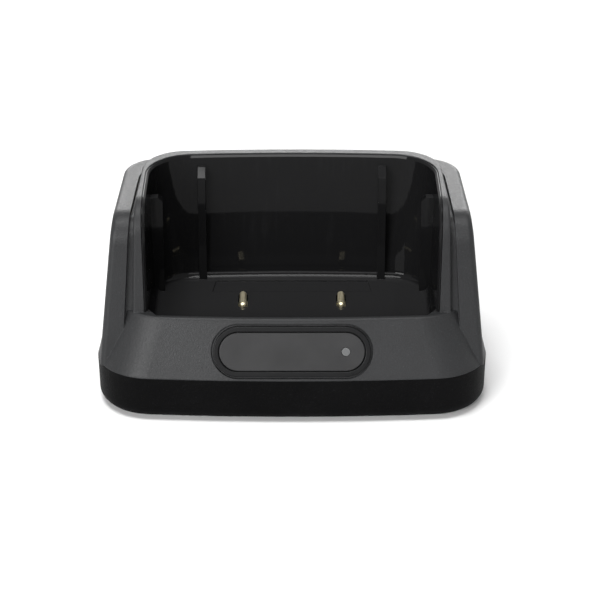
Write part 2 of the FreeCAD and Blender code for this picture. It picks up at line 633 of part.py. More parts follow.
def raised_walls():
    """Outer band, groove and taller inner band, solid as yet."""
    outer = common("OuterBand", wall_loft("OuterPlan", "0"),
                   wall_profile("OuterSide", "0", BAND_TOP, "bend_radius"))
    low = value("lip_height")

    def outer_edge(edge):
        middle = edge.CenterOfMass
        upright = edge.BoundBox.ZMax - edge.BoundBox.ZMin > low and middle.y > 0
        return not crosswise(edge) and not upright and edge.BoundBox.ZMax > low and middle.y > value(FRONT)

    outer = dressed_edges("OuterBandSoft", "Part::Fillet", outer, "front_edge_round", outer_edge)
    trench = cut("GrooveTrench", rim_loft("GroovePlan", "groove_gap", "groove_gap_top", "groove_gap_back"),
                 wall_profile("GrooveSide", "groove_depth", "(%s - groove_depth)" % BAND_TOP,
                              "groove_bend_radius"))
    rim = common("RimBand", rim_loft("RimPlan", "0", "0", "0"),
                 wall_profile("RimSide", "0", "rim_height", "rim_bend_radius"))
    rim = dressed_edges("RimBandSoft", "Part::Fillet", rim, "rim_edge_round", outer_edge)
    return fuse("RaisedWalls", cut("OuterBandGrooved", outer, trench), rim)


def liner_slot_side():
    """Side view of the room for the liner's thin edge, open above the lip."""
    rear = "(%s + overrun)" % BACK
    above = "rim_height + overrun"
    setback = " + liner_sink - liner_fit"
    points = [(front_at(LIP_UNDER) + setback, LIP_UNDER), (front_at("lip_height") + setback, "lip_height"),
              (FRONT, "lip_height"), (FRONT, above), (rear, above), (rear, LIP_UNDER)]
    return side_profile("LinerSlotSide", points)


def upper_housing(void):
    outside = fuse("HousingOutside", skirt("FrontBand", "0", "lip_height", "lip_edge_round"), raised_walls())
    inside = fuse("HousingInside", skirt("FrontBandInside", "shell_wall", LIP_UNDER),
                  common("WallInside", wall_loft("WallInsidePlan", "shell_wall"),
                         wall_profile("WallInsideSide", "front_column",
                                      "(%s - groove_depth - shell_wall)" % BAND_TOP, "groove_bend_radius")))
    boss_length = "boss_top - crease_height"
    bosses = four("HousingBoss", lambda name, x, y: rod(name, "boss_radius", boss_length,
                                                        (x, y, "crease_height")), BOSS_X, BOSSES)
    bosses += four("HousingBossRib", lambda name, x, y: box(
        name, ("boss_radius * 4", "boss_rib", boss_length),
        ("%s - boss_radius * 2" % x, "%s - boss_rib / 2" % y, "crease_height")),
        "(%s + boss_radius * 2)" % BOSS_X, BOSSES)
    bosses = common("HousingBosses", fuse("HousingBossSet", *bosses), outside)
    solid = fuse("HousingWhole", cut("HousingShell", outside, inside), bosses)
    seat = liner_core("LinerSeat", "liner_fit")
    slot = common("LinerEdgeSlot", pocket_loft("LinerSlotPlan", "liner_edge + liner_fit", FLOOR_UNDER,
                                               "%s - overrun" % FRONT), liner_slot_side())
    pilots = four("BossPilot", lambda name, x, y: rod(name, "pilot_radius", "pilot_depth",
                                                      (x, y, "crease_height")), BOSS_X, BOSSES)
    recess = new_body("BadgeRecess")
    moat = stadium(recess, "BadgeMoat", "badge_length + badge_moat * 2", "badge_width + badge_moat * 2")
    pad(recess, moat, "badge_width")
    on_band(recess, "0", "badge_sink")
    lamp_hole = rod("LampHole", "lamp_radius + lamp_gap", "lamp_run * 3", ("0", "0", "0"))
    on_band(lamp_hole, "lamp_x", "lamp_run * 2")
    return node(cut("UpperHousing", solid, void, seat, slot, recess, lamp_hole, *pilots), "upper_housing")


# ---------------------------------------------------------------- lower housing

def lower_housing():
    body = new_body("LowerShell")
    flat = "crease_height - foot_drop"
    outline = shield(body, "BaseOutline", "crease_height", HALF, HALF + " - side_narrowing", FRONT, BACK,
                     "front_corner", "back_corner", "front_bow", "back_bow")
    block = pad(body, outline, flat, down=True, taper="0 - base_taper")
    bottom = value("foot_drop") + 0.001
    soft = round_edges(body, block, "base_round", lambda e: e.BoundBox.ZMax < bottom)
    hollow = new_body("LowerHollow")
    inner = shield(hollow, "BaseInside", "crease_height", HALF + " - shell_wall",
                   HALF + " - side_narrowing - shell_wall", FRONT + " + shell_wall", BACK + " - shell_wall",
                   "front_corner - shell_wall", "back_corner - shell_wall", "front_bow", "back_bow")
    space = pad(hollow, inner, flat + " - base_floor", down=True, taper="0 - base_taper")
    floor = value("foot_drop + base_floor") + 0.001
    round_edges(hollow, space, "base_round - shell_wall", lambda e: e.BoundBox.ZMax < floor)
    body.Tip = soft
    shell = cut("LowerTray", body, hollow)
    inside = "foot_drop + base_floor / 2"
    tall = "crease_height - (%s)" % inside
    post_height = "board_top - (%s)" % inside
    posts = four("LinerPost", lambda name, x, y: rod(name, "post_radius", post_height, (x, y, inside)),
                 "post_x", POSTS)
    posts += four("LinerPeg", lambda name, x, y: rod(name, "peg_radius", "peg_length * 2",
                                                     (x, y, "board_top - peg_length")), "post_x", POSTS)
    sleeves = four("ScrewSleeve", lambda name, x, y: rod(name, "head_radius + head_gap + post_wall", tall,
                                                         (x, y, inside)), BOSS_X, BOSSES)
    sleeves = common("ScrewSleeves", fuse("ScrewSleeveSet", *sleeves), body)
    holes = four("ScrewHole", lambda name, x, y: rod(name, "screw_hole", "crease_height * 2", (x, y, "0")),
                 BOSS_X, BOSSES)
    holes += four("HeadHole", lambda name, x, y: rod(name, "head_radius + head_gap", "foot_drop + head_depth",
                                                     (x, y, "0")), BOSS_X, BOSSES)
    holes += four("FootRecess", lambda name, x, y: rod(
        name, "foot_radius + foot_gap", "foot_drop + foot_sink", (x, y, "0")), FOOT_X, FEET)
    holes.append(rod("PowerPort", "port_radius", "body_depth", ("0", BOARD_BACK, PORT_HEIGHT), "Y"))
    whole = fuse("LowerWhole", shell, sleeves, *posts)
    return node(cut("LowerHousing", whole, *holes), "lower_housing")


def rubber_feet():
    for place_name, y in FEET:
        for side_name, side in SIDES:
            name = "foot_%s_%s" % (place_name.lower(), side_name)
            body = new_body(name.title().replace("_", ""))
            disc = circle(body, body.Name + "Outline", "foot_radius", "%s * %d" % (FOOT_X, side), y)
            block = pad(body, disc, "foot_drop + foot_sink")
            round_edges(body, block, "foot_round", lambda e: e.BoundBox.ZMax < 0.001)
            node(body, name)


# ---------------------------------------------------------------- badge and lamp

def badge():
    """Stadium-shaped bezel and the blank plate that it frames, both on the front band."""
    body = new_body("BadgeBezel")
    outline = stadium(body, "BezelOutline", "badge_length", "badge_width")
    ring = pad(body, outline, "badge_sink + badge_rise")
    hole = stadium(body, "BezelHole", "badge_length - badge_ring * 2", "badge_width - badge_ring * 2")
    window = body.newObject("PartDesign::Pocket", "BezelWindow")
    window.Profile = hole
    window.Type = "ThroughAll"
    window.Reversed = True
    top = value("badge_sink + badge_rise") - 0.001
    round_edges(body, window, "badge_edge_round", lambda e: e.BoundBox.ZMin > top)
    node(on_band(body, "0", "badge_sink"), "badge_bezel")

    plate = new_body("NamePlate")
    inner = stadium(plate, "PlateOutline", "badge_length - badge_ring * 2 - badge_gap * 2",
                    "badge_width - badge_ring * 2 - badge_gap * 2")
    pad(plate, inner, "badge_sink + plate_rise")
    lamp = circle(plate, "PlateLampHole", "lamp_radius + lamp_gap", "lamp_x")
    bore = plate.newObject("PartDesign::Pocket", "PlateBore")
    bore.Profile = lamp
    bore.Type = "ThroughAll"
    bore.Reversed = True
    top_plate = value("badge_sink + plate_rise") - 0.001
    hole_length = value("lamp_radius + lamp_gap") * 2 * math.pi + 0.001
    round_edges(plate, bore, "badge_edge_round",
                lambda e: e.BoundBox.ZMin > top_plate and e.Length > hole_length)
    node(on_band(plate, "0", "badge_sink"), "nameplate")


def lamp():
    """Bent light pipe from the badge down to the lamp on the board."""
    rise = rod("PipeFront", "lamp_radius", "lamp_run + plate_rise", ("0", "0", "0"))
    on_band(rise, "lamp_x", "lamp_run")
    led_top = "board_top + led_thickness + lamp_clearance"
    drop = rod("PipeDrop", "lamp_radius", "%s - (%s)" % (LAMP_Z, led_top), ("lamp_x", LAMP_Y, led_top))
    node(fuse("LightPipe", rise, elbow("PipeElbow", "lamp_radius"), drop), "light_pipe")
    node(box("StatusLed", ("led_width", "led_length", "led_thickness"),
             ("lamp_x - led_width / 2", "%s - led_length / 2" % LAMP_Y, "board_top")), "status_led")


# ---------------------------------------------------------------- circuit board

def circuit_board():
    body = new_body("CircuitBoard")
    outline = polygon(body, "BoardOutline", [
        ("0 - board_half", BOARD_FRONT), ("board_half", BOARD_FRONT),
        ("board_half", BOARD_BACK), ("0 - board_half", BOARD_BACK)], offset=BOARD_BOTTOM)
    pad(body, outline, "board_thickness")
    holes = four("BoardHole", lambda name, x, y: rod(
        name, "small_screw_radius + small_screw_gap", "board_top", (x, y, "0")),
        "board_screw_x", BOARD_SCREWS)
    node(cut("BoardDrilled", body, *holes), "circuit_board")
    under = BOARD_BOTTOM + " - "
    node(box("ChargeChip", ("chip_width", "chip_length", "chip_thickness"),
             ("0 - chip_x - chip_width", "0 - chip_y", under + "chip_thickness")), "charge_chip")
    coil = box("CoilBlock", ("coil_side", "coil_side", "coil_thickness"),
               ("coil_x", "coil_y - coil_side / 2", under + "coil_thickness"))
    core = rod("CoilCore", "coil_core", "coil_thickness / 4",
               ("coil_x + coil_side / 2", "coil_y", under + "coil_thickness"))
    node(cut("Inductor", coil, core), "inductor")
    base = box("CanBase", ("can_radius * 2", "can_radius * 2", "can_base"),
               ("0 - can_x - can_radius * 2", "can_y - can_radius", under + "can_base"))
    can = rod("Can", "can_radius", "can_length", ("0 - can_x - can_radius", "can_y", under + "can_length"))
    node(fuse("Capacitor", base, can), "capacitor")
    chips = [box("SmallPart%d" % i, ("small_width", "small_length", "small_thickness"),
                 ("small_pitch * %d - small_width / 2" % i, "0 - small_y", under + "small_thickness"))
             for i in range(-2, 3)]
    node(group("SmallParts", *chips), "chip_resistors")


# ---------------------------------------------------------------- charging contacts

CAVITY_LENGTH = "contact_length + flange_margin * 2 + cavity_gap * 2"
CAVITY_WIDTH = "contact_width + flange_margin * 2 + cavity_gap * 2"
FLANGE_UNDER = "(%s - stop_gap - flange_thickness)" % FLOOR_UNDER
PAD_TOP = "(board_top + pad_thickness)"


def contact_block():
    """Plastic block on the board that guides both contacts and their springs; its wells run right through."""
    length = "contact_x * 2 + %s + block_wall * 2" % CAVITY_WIDTH
    width = "%s + block_wall * 2" % CAVITY_LENGTH
    block = box("ContactBlockSolid", (length, width, "%s - block_gap - board_top" % FLOOR_UNDER),
                ("0 - (%s) / 2" % length, "0 - contact_y - (%s) / 2" % width, "board_top"))
    wells = []
    for side_name, side in SIDES:
        well = new_body("ContactWell" + side_name.title())
        pad(well, stadium(well, well.Name + "Outline", CAVITY_LENGTH, CAVITY_WIDTH, "Y"), "board_top")
        wells.append(place(well, "contact_x * %d" % side, "0 - contact_y", "board_top - block_wall"))
    node(cut("ContactBlock", block, *wells), "contact_block")


def charging_contact(side_name, side):
    """Pill-shaped plunger with a flange that the liner's floor holds back, and its coil spring."""
    body = new_body("Contact" + side_name.title())
    flange = stadium(body, body.Name + "FlangeOutline", "contact_length + flange_margin * 2",
                     "contact_width + flange_margin * 2", "Y")
    pad(body, flange, "flange_thickness")
    crown = stadium(body, body.Name + "CrownOutline", "contact_length", "contact_width", "Y")
    height = "flange_thickness + stop_gap + liner_floor + contact_rise"
    plunger = pad(body, crown, height)
    top = value(height) - 0.001
    round_edges(body, plunger, "contact_round", lambda e: e.BoundBox.ZMin > top)
    node(place(body, "contact_x * %d" % side, "0 - contact_y", FLANGE_UNDER), "contact_" + side_name)

    coil = new_body("Spring" + side_name.title())
    wire = circle(coil, coil.Name + "Wire", "wire_radius", "spring_radius", "wire_radius", "XZ_Plane")
    helix = coil.newObject("PartDesign::AdditiveHelix", coil.Name + "Helix")
    helix.Profile = wire
    helix.ReferenceAxis = (wire, ["V_Axis"])
    helix.Mode = 2
    bind(helix, "Turns", "spring_turns")
    bind(helix, "Height", "%s - %s - spring_gap - wire_radius * 2" % (FLANGE_UNDER, PAD_TOP))
    node(place(coil, "contact_x * %d" % side, "0 - contact_y", PAD_TOP), "contact_spring_" + side_name)
    return box("Pad" + side_name.title(), ("pad_width", "pad_length", "pad_thickness"),
               ("contact_x * %d - pad_width / 2" % side, "0 - contact_y - pad_length / 2", "board_top"))


# ---------------------------------------------------------------- power inlet

def power_inlet():
    start = "%s - jack_length" % PORT_FACE
    shell = box("JackBlock", ("jack_width", "jack_length", "jack_body"),
                ("0 - jack_width / 2", start, "%s - jack_body" % BOARD_BOTTOM))
    hole = rod("JackHole", "jack_bore", "jack_bore_depth * 2", ("0", "%s - jack_bore_depth" % PORT_FACE,
                                                                PORT_HEIGHT), "Y")
    node(cut("PowerJack", shell, hole), "dc_jack")
    node(rod("PowerPin", "jack_pin", "jack_bore_depth - jack_pin_short",
             ("0", "%s - jack_bore_depth" % PORT_FACE, PORT_HEIGHT), "Y"), "dc_jack_pin")


# ---------------------------------------------------------------- screws

def screw(name, x, y, seat, radius, length, head, thickness):
    """Pan-head screw driven upwards, with a cross recess; seat is the underside of what it holds."""
    shank = rod(name + "Shank", radius, length, (x, y, seat))
    cap = rod(name + "Head", head, thickness, (x, y, "%s - %s" % (seat, thickness)))
    low = "%s - %s" % (seat, thickness)
    reach = "%s * 1.2" % head
    slots = [box(name + "SlotX", (reach, "cross_width", "cross_depth"),
                 ("%s - %s / 2" % (x, reach), "%s - cross_width / 2" % y, low)),
             box(name + "SlotY", ("cross_width", reach, "cross_depth"),
                 ("%s - cross_width / 2" % x, "%s - %s / 2" % (y, reach), low))]
    return cut(name, fuse(name + "Blank", shank, cap), *slots)


def screws():
    long_ones = four("HousingScrew", lambda name, x, y: screw(
        name, x, y, "(foot_drop + head_depth)", "screw_radius", "screw_length", "head_radius",
        "head_thickness"), BOSS_X, BOSSES)
    node(group("HousingScrews", *long_ones), "housing_screws")
    short_ones = four("BoardScrew", lambda name, x, y: screw(
        name, x, y, BOARD_BOTTOM, "small_screw_radius", "small_screw_length", "small_head_radius",
        "small_head_thickness"), "board_screw_x", BOARD_SCREWS)
    node(group("BoardScrews", *short_ones), "board_screws")


# ---------------------------------------------------------------- assembly

pocket = pocket_void()
lower_housing()
upper_housing(pocket)
pocket_liner(pocket)
badge()
lamp()
circuit_board()
contact_block()
pads = [charging_contact(side_name, side) for side_name, side in SIDES]
node(group("ContactPads", *pads), "contact_pads")
power_inlet()
screws()
rubber_feet()
doc.recompute()

for thing in doc.Objects:
    if "Invalid" in thing.State or "Error" in thing.State:
        raise RuntimeError("%s did not build: %s" % (thing.Name, thing.State))
for thing in NODES:
    if thing.Shape.isNull() or not thing.Shape.isValid():
        raise RuntimeError("%s has no valid shape" % thing.Label)

os.makedirs("parts", exist_ok=True)
for thing in NODES:
    thing.Shape.exportStep("parts/%s.step" % thing.Label)
    solids = thing.Shape.Solids
    print("%-22s %d solid(s) %10.2f mm3" % (thing.Label, len(solids), sum(s.Volume for s in solids)))
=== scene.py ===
import math

import bpy
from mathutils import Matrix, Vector

# Desktop charging cradle for a hand-held radio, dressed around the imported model.
# Metres throughout. X to the right, Y to the back, Z up, and the desk at Z 0.

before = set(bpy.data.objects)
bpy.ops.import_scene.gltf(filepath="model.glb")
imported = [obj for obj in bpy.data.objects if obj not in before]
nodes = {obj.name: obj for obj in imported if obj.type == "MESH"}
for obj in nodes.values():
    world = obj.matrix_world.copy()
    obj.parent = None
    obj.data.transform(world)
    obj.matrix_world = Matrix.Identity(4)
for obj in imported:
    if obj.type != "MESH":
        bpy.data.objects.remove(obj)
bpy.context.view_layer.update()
print("frame loaded:", len(nodes), "nodes")


# the small tools that every finish is mixed with

middle = (0.3, 0.7)   # the span that holds most of a cloud's values


def addNode(tree, kind, **settings):
    made = tree.nodes.new(kind)
    for key, setting in settings.items():
        if key in made.inputs:
            made.inputs[key].default_value = setting
        else:
            setattr(made, key, setting)
    return made


def blankFinish(name):
    # an empty material with a Principled shader, and the part's own coordinates in metres
    finish = bpy.data.materials.new(name)
    finish.use_nodes = True
    tree = finish.node_tree
    tree.nodes.clear()
    output = addNode(tree, "ShaderNodeOutputMaterial")
    shader = addNode(tree, "ShaderNodeBsdfPrincipled")
    tree.links.new(shader.outputs["BSDF"], output.inputs["Surface"])
    place = addNode(tree, "ShaderNodeTexCoord").outputs["Object"]
    return finish, tree, shader, place


def cloud(tree, place, perMetre, detail=2.0, roughness=0.5, stretch=None):
    # soft noise from 0 to 1 with about perMetre lumps in a metre
    if stretch:
        squeeze = addNode(tree, "ShaderNodeMapping")
        squeeze.inputs["Scale"].default_value = stretch
        tree.links.new(place, squeeze.inputs["Vector"])
        place = squeeze.outputs["Vector"]
    noise = addNode(tree, "ShaderNodeTexNoise", Scale=perMetre, Detail=detail, Roughness=roughness)
    tree.links.new(place, noise.inputs["Vector"])
    return noise.outputs["Fac"]


def spread(tree, fac, low, high, start=0.0, end=1.0):
    # carries a value from the start-end span over to the low-high span
    span = addNode(tree, "ShaderNodeMapRange")
    span.inputs["From Min"].default_value = start
    span.inputs["From Max"].default_value = end
    span.inputs["To Min"].default_value = low
    span.inputs["To Max"].default_value = high
    tree.links.new(fac, span.inputs["Value"])
    return span.outputs["Result"]


def combine(tree, operation, first, second):
    sums = addNode(tree, "ShaderNodeMath", operation=operation)
    for socket, term in zip(sums.inputs, (first, second)):
        if isinstance(term, (int, float)):
            socket.default_value = term
        else:
            tree.links.new(term, socket)
    return sums.outputs["Value"]


def blendColours(tree, fac, first, second):
    mix = addNode(tree, "ShaderNodeMix", data_type="RGBA")
    tree.links.new(fac, mix.inputs["Factor"])
    for socket, colour in (("A", first), ("B", second)):
        slot = [s for s in mix.inputs if s.name == socket and s.type == "RGBA"][0]
        if isinstance(colour, tuple):
            slot.default_value = (*colour, 1.0)
        else:
            tree.links.new(colour, slot)
    return [s for s in mix.outputs if s.type == "RGBA"][0]


def softNormal(tree, radius):
    # normals that turn over the edges as a small moulded radius does
    return addNode(tree, "ShaderNodeBevel", Radius=radius, samples=6).outputs["Normal"]


def edgeMask(tree, radius, reach):
    # 1 where an edge is worn, 0 on open faces
    turned = softNormal(tree, radius)
    flat = addNode(tree, "ShaderNodeNewGeometry").outputs["True Normal"]
    dot = addNode(tree, "ShaderNodeVectorMath", operation="DOT_PRODUCT")
    tree.links.new(turned, dot.inputs[0])
    tree.links.new(flat, dot.inputs[1])
    return spread(tree, dot.outputs["Value"], 1.0, 0.0, 1.0 - reach, 0.999)


def relief(tree, height, strength, distance, normal=None):
    bump = addNode(tree, "ShaderNodeBump", Strength=strength, Distance=distance)
    tree.links.new(height, bump.inputs["Height"])
    if normal is not None:
        tree.links.new(normal, bump.inputs["Normal"])
    return bump.outputs["Normal"]


def dress(finish, *nodeNames):
    for name in nodeNames:
        skins = nodes[name].data.materials
        if len(skins) == 0:
            skins.append(finish)
        for i in range(len(skins)):
            skins[i] = finish


# the housing: black plastic from a spark-eroded mould

housingPlastic = {
    "colour": (0.0135, 0.0138, 0.0145),
    "rubbed": (0.034, 0.035, 0.037),
    "grainsPerMetre": 2600.0,
    "grainHeight": 0.00009,
    "grainShade": 0.12,
    "patchesPerMetre": 34.0,
    "patchShade": 0.25,
    "flecksPerMetre": 3300.0,
    "fleckShade": 0.5,
    "edgeRadius": 0.00035,
    "edgeShade": 0.35,
    "glossPerMetre": 1500.0,
    "roughness": (0.40, 0.50),
    "sheen": 0.21,
}

# the base comes from the same mould grain, in a duller plastic whose colour is far blacker than the
# housing's: partly a darker plastic of its own, partly painted shade for the lower band
shadedBasePlastic = {
    **housingPlastic,
    # painted shade: this colour is set far below the housing's to darken the lower band as shade would
    "colour": (0.0015, 0.0015, 0.0016),
    "rubbed": (0.008, 0.008, 0.0085),
    "fleckShade": 0.7,
    "roughness": (0.46, 0.60),
    "sheen": 0.035,
}


def housingFinish(name, look):
    finish, tree, shader, place = blankFinish(name)
    grain = cloud(tree, place, look["grainsPerMetre"], 3.0, 0.6)
    patches = cloud(tree, place, look["patchesPerMetre"], 4.0, 0.55)
    rubbing = combine(tree, "MULTIPLY", edgeMask(tree, look["edgeRadius"], 0.25), look["edgeShade"])
    flecks = cloud(tree, place, look["flecksPerMetre"], 0.0)
    flecks = spread(tree, flecks, 0.0, look["fleckShade"], 0.735, 0.80)
    shade = combine(tree, "ADD", spread(tree, patches, 0.0, look["patchShade"], 0.35, 0.75), rubbing)
    shade = combine(tree, "ADD", shade, spread(tree, grain, -look["grainShade"], look["grainShade"], *middle))
    shade = combine(tree, "ADD", shade, flecks)
    tree.links.new(blendColours(tree, shade, look["colour"], look["rubbed"]), shader.inputs["Base Color"])
    gloss = cloud(tree, place, look["glossPerMetre"], 3.0)
    tree.links.new(spread(tree, gloss, *look["roughness"], *middle), shader.inputs["Roughness"])
    tree.links.new(relief(tree, grain, 0.75, look["grainHeight"], softNormal(tree, look["edgeRadius"])),
                   shader.inputs["Normal"])
    shader.inputs["Specular IOR Level"].default_value = look["sheen"]
    return finish


dress(housingFinish("housingPlastic", housingPlastic), "upper_housing")
dress(housingFinish("shadedBasePlastic", shadedBasePlastic), "lower_housing")
print("housing dressed")


# the pocket's liner: the same black plastic from a polished mould, rubbed by the radio, with
# painted light from above: a paler colour on the faces that look up

linerPlastic = {
    "colour": (0.0062, 0.0062, 0.0065),
    "haze": (0.012, 0.012, 0.0125),
    # paler colour painted on up-facing faces, as painted light from above
    "paintedTopLight": (0.0165, 0.0165, 0.017),
    "wavesPerMetre": 240.0,
    "waveHeight": 0.00001,
    "rubsPerMetre": 900.0,
    "rubStretch": (1.0, 1.0, 0.06),
    "rubPatchesPerMetre": 60.0,
    "edgeRadius": 0.00012,
    "edgeShade": 0.5,
    "roughness": (0.04, 0.12),
    "sheen": 0.075,
}


def linerFinish(look):
    finish, tree, shader, place = blankFinish("linerPlastic")
    waves = cloud(tree, place, look["wavesPerMetre"], 2.0)
    rubs = cloud(tree, place, look["rubsPerMetre"], 3.0, 0.6, look["rubStretch"])   # upright rub marks
    patches = cloud(tree, place, look["rubPatchesPerMetre"], 2.0)
    haze = combine(tree, "MULTIPLY", spread(tree, rubs, 0.0, 1.0, 0.52, 0.75),
                   spread(tree, patches, 0.0, 0.6, 0.4, 0.7))
    rubbing = combine(tree, "MULTIPLY", edgeMask(tree, look["edgeRadius"], 0.3), look["edgeShade"])
    haze = combine(tree, "ADD", haze, rubbing)
    # painted light: faces that look up are blended toward a paler colour, as if lit from above
    facing = addNode(tree, "ShaderNodeSeparateXYZ")
    tree.links.new(addNode(tree, "ShaderNodeNewGeometry").outputs["Normal"], facing.inputs["Vector"])
    paintedTopLight = spread(tree, facing.outputs["Z"], 0.0, 1.0, 0.80, 0.99)
    shade = blendColours(tree, haze, look["colour"], look["haze"])
    tree.links.new(blendColours(tree, paintedTopLight, shade, look["paintedTopLight"]), shader.inputs["Base Color"])
    tree.links.new(spread(tree, haze, *look["roughness"]), shader.inputs["Roughness"])
    tree.links.new(relief(tree, waves, 0.25, look["waveHeight"], softNormal(tree, look["edgeRadius"])),
                   shader.inputs["Normal"])
    shader.inputs["Specular IOR Level"].default_value = look["sheen"]
    return finish


dress(linerFinish(linerPlastic), "pocket_liner")
print("liner dressed")


# the badge: a satin ring round a blank plate

badgePlastic = {
    "ring": (0.0030, 0.0031, 0.0034),
    "plate": (0.025, 0.025, 0.0255),
    "paler": 1.35,
    "grainsPerMetre": 5200.0,
    "grainHeight": 0.000008,
    "patchesPerMetre": 160.0,
    "patchShade": 0.4,
    "edgeRadius": 0.0002,
    "edgeShade": 0.6,
    "roughness": (0.34, 0.46),
    "sheen": 0.12,
}


def badgeFinish(name, colour, look):
    finish, tree, shader, place = blankFinish(name)
    grain = cloud(tree, place, look["grainsPerMetre"], 2.0)
    patches = cloud(tree, place, look["patchesPerMetre"], 3.0)
    worn = combine(tree, "ADD", spread(tree, patches, 0.0, look["patchShade"], 0.35, 0.7),
                   combine(tree, "MULTIPLY", edgeMask(tree, look["edgeRadius"], 0.3), look["edgeShade"]))
    paler = tuple(c * look["paler"] for c in colour)
    tree.links.new(blendColours(tree, worn, colour, paler), shader.inputs["Base Color"])
    tree.links.new(spread(tree, patches, *look["roughness"], *middle), shader.inputs["Roughness"])
    tree.links.new(relief(tree, grain, 0.3, look["grainHeight"], softNormal(tree, look["edgeRadius"])),
                   shader.inputs["Normal"])
    shader.inputs["Specular IOR Level"].default_value = look["sheen"]
    return finish


dress(badgeFinish("badgeRing", badgePlastic["ring"], badgePlastic), "badge_bezel")
dress(badgeFinish("badgePlate", badgePlastic["plate"], badgePlastic), "nameplate")
print("badge dressed")


# metals: a brushed or plated skin with fine scratches

metalSkins = {
    "contactGold": {"colour": (0.96, 0.88, 0.64), "dull": (0.84, 0.74, 0.48), "roughness": (0.34, 0.50)},
    "springWire": {"colour": (0.62, 0.62, 0.60), "dull": (0.40, 0.39, 0.38), "roughness": (0.22, 0.38)},
    "zincScrew": {"colour": (0.58, 0.59, 0.60), "dull": (0.36, 0.36, 0.35), "roughness": (0.28, 0.46)},
    "canAluminium": {"colour": (0.78, 0.79, 0.80), "dull": (0.58, 0.58, 0.59), "roughness": (0.24, 0.36)},
}

metalWear = {
    "scratchesPerMetre": 2400.0,
    "scratchStretch": (1.0, 0.08, 1.0),
    "scratchDepth": 0.000006,
    "tarnishPerMetre": 380.0,
    "edgeRadius": 0.00012,
}


def metalFinish(name, wear=metalWear):
    look = metalSkins[name]
    finish, tree, shader, place = blankFinish(name)
    scratches = cloud(tree, place, wear["scratchesPerMetre"], 4.0, 0.65, wear["scratchStretch"])
    tarnish = spread(tree, cloud(tree, place, wear["tarnishPerMetre"], 4.0), 0.0, 1.0, 0.42, 0.72)
    tree.links.new(blendColours(tree, tarnish, look["colour"], look["dull"]), shader.inputs["Base Color"])
    tree.links.new(spread(tree, scratches, *look["roughness"], *middle), shader.inputs["Roughness"])
    tree.links.new(relief(tree, scratches, 0.2, wear["scratchDepth"], softNormal(tree, wear["edgeRadius"])),
                   shader.inputs["Normal"])
    shader.inputs["Metallic"].default_value = 1.0
    return finish


dress(metalFinish("contactGold"), "contact_left", "contact_right", "contact_pads", "dc_jack_pin")
dress(metalFinish("springWire"), "contact_spring_left", "contact_spring_right")
dress(metalFinish("zincScrew"), "housing_screws", "board_screws")
dress(metalFinish("canAluminium"), "capacitor")
print("metals dressed")


# small mouldings, chips and rubber: one recipe, each with its own colour and grain

smallFinishes = {
    "lampFrosted": {
        "colour": (0.060, 0.062, 0.063), "other": (0.088, 0.090, 0.092), "roughness": (0.30, 0.42),
        "perMetre": 1800.0, "height": 0.000006, "nodes": ("light_pipe",)},
    "lampChip": {
        "colour": (0.72, 0.71, 0.64), "other": (0.60, 0.58, 0.48), "roughness": (0.35, 0.5),
        "perMetre": 2400.0, "height": 0.000004, "nodes": ("status_led",)},
    "blockNylon": {
        "colour": (0.022, 0.022, 0.023), "other": (0.036, 0.036, 0.038), "roughness": (0.40, 0.55),
        "perMetre": 1500.0, "height": 0.00001, "nodes": ("contact_block", "dc_jack")},
    "chipEpoxy": {
        "colour": (0.030, 0.030, 0.032), "other": (0.05, 0.05, 0.052), "roughness": (0.5, 0.66),
        "perMetre": 4200.0, "height": 0.00001, "nodes": ("charge_chip", "chip_resistors")},
    "coilFerrite": {
        "colour": (0.085, 0.083, 0.08), "other": (0.13, 0.127, 0.12), "roughness": (0.55, 0.75),
        "perMetre": 3000.0, "height": 0.00002, "nodes": ("inductor",)},
    "footRubber": {
        "colour": (0.018, 0.018, 0.018), "other": (0.032, 0.031, 0.03), "roughness": (0.7, 0.88),
        "perMetre": 1900.0, "height": 0.00003,
        "nodes": ("foot_front_left", "foot_front_right", "foot_back_left", "foot_back_right")},
}

smallEdge = 0.00015
grainsAcrossPatch = 12


def smallFinish(name, look):
    finish, tree, shader, place = blankFinish(name)
    grain = cloud(tree, place, look["perMetre"], 3.0, 0.6)
    patches = cloud(tree, place, look["perMetre"] / grainsAcrossPatch, 3.0)
    tree.links.new(blendColours(tree, patches, look["colour"], look["other"]), shader.inputs["Base Color"])
    tree.links.new(spread(tree, grain, *look["roughness"], *middle), shader.inputs["Roughness"])
    tree.links.new(relief(tree, grain, 0.4, look["height"], softNormal(tree, smallEdge)),
                   shader.inputs["Normal"])
    return finish


for name, look in smallFinishes.items():
    dress(smallFinish(name, look), *look["nodes"])
print("small pieces dressed")


# the circuit board: green mask over woven glass, with the copper showing through as paler lines

boardMask = {
    "mask": (0.012, 0.085, 0.030),
    "overCopper": (0.030, 0.160, 0.060),
    "tracksPerMetre": 420.0,
    "trackGap": 0.09,
    "trackLength": 3.2,
    "trackWidth": 0.6,
    "threadsPerMetre": 2600.0,
    "threadHeight": 0.15,
    "copperHeight": 0.00002,
    "glossPerMetre": 700.0,
    "roughness": (0.22, 0.36),
}


